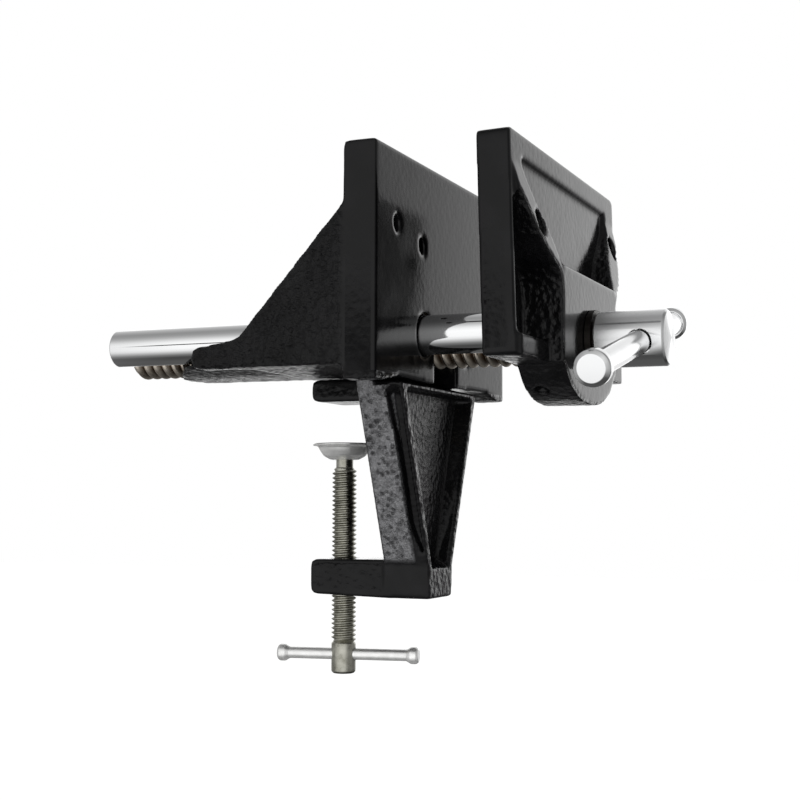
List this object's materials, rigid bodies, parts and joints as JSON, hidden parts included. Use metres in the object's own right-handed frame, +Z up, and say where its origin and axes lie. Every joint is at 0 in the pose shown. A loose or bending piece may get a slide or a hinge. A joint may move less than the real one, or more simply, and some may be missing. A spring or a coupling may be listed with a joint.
{
  "type": "bench vise",
  "caption": "Clamp-on bench vise with two cast iron jaws on chrome guide rods, a lead screw with a sliding bar handle, and a C-frame with a screw clamp.",
  "frame": {"origin": "middle of the bench seat, the flat underside of the C-frame's tongue that rests on the bench top", "axes": "+X from the fixed jaw to the handle along the lead screw, +Y across the jaws to the far side, +Z up"},
  "size_m": [0.2551, 0.1579, 0.2175],
  "materials": {
    "jaw_paint": "glossy black paint over rough castings",
    "polished_chrome": "polished chrome plate",
    "oiled_steel": "oiled machined steel",
    "zinc_steel": "satin zinc plated steel",
    "nut_bronze": "machined bronze"
  },
  "bodies": {
    "base": {"fixed_jaw": "jaw_paint", "clamp_frame": "jaw_paint", "lead_nut": "nut_bronze", "nut_lock_screw": "zinc_steel", "frame_bolt_near": "zinc_steel", "frame_bolt_far": "zinc_steel", "frame_bolt_washer_near": "zinc_steel", "frame_bolt_washer_far": "zinc_steel"},
    "jaw": {"moving_jaw": "jaw_paint", "guide_rod_near": "polished_chrome", "guide_rod_far": "polished_chrome", "rod_lock_screw_near": "zinc_steel", "rod_lock_screw_far": "zinc_steel", "thrust_washer": "oiled_steel"},
    "spindle": {"lead_screw": "oiled_steel", "retaining_collar": "zinc_steel", "collar_pin": "oiled_steel", "spindle_head": "polished_chrome", "head_pin": "oiled_steel"},
    "handle": {"handle_bar": "polished_chrome", "handle_cap_near": "polished_chrome", "handle_cap_far": "polished_chrome"},
    "cup": {"clamp_cup": "zinc_steel"},
    "clamp_spindle": {"clamp_screw": "zinc_steel"},
    "tommy_bar": {"clamp_tommy_bar": "zinc_steel"}
  },
  "joints": [
    {"name": "jaw_travel", "type": "slide", "parent": "base", "child": "jaw", "axis": [1, 0, 0], "range_m": [-0.0405, 0.075]},
    {"name": "spindle_turn", "type": "hinge", "parent": "jaw", "child": "spindle", "pos_m": [0.11, 0, 0.0236], "axis": [1, 0, 0], "range_deg": [-2930, 5420]},
    {"name": "handle_slide", "type": "slide", "parent": "spindle", "child": "handle", "axis": [0, 0.9725, 0.2328], "range_m": [-0.035, 0.065]},
    {"name": "clamp_travel", "type": "slide", "parent": "base", "child": "cup", "axis": [0, 0, 1], "range_m": [-0.0415, 0.0173]},
    {"name": "clamp_turn", "type": "hinge", "parent": "cup", "child": "clamp_spindle", "pos_m": [-0.0075, 0, -0.06], "axis": [0, 0, 1], "range_deg": [-7500, 3130]},
    {"name": "tommy_bar_slide", "type": "slide", "parent": "clamp_spindle", "child": "tommy_bar", "axis": [0.9801, 0.1987, 0], "range_m": [-0.0225, 0.0185]}
  ],
  "couplings": [
    {"joint": "spindle_turn", "follows": "jaw_travel", "rad_per_m": 1256.6},
    {"joint": "clamp_turn", "follows": "clamp_travel", "rad_per_m": 3141.6}
  ]
}
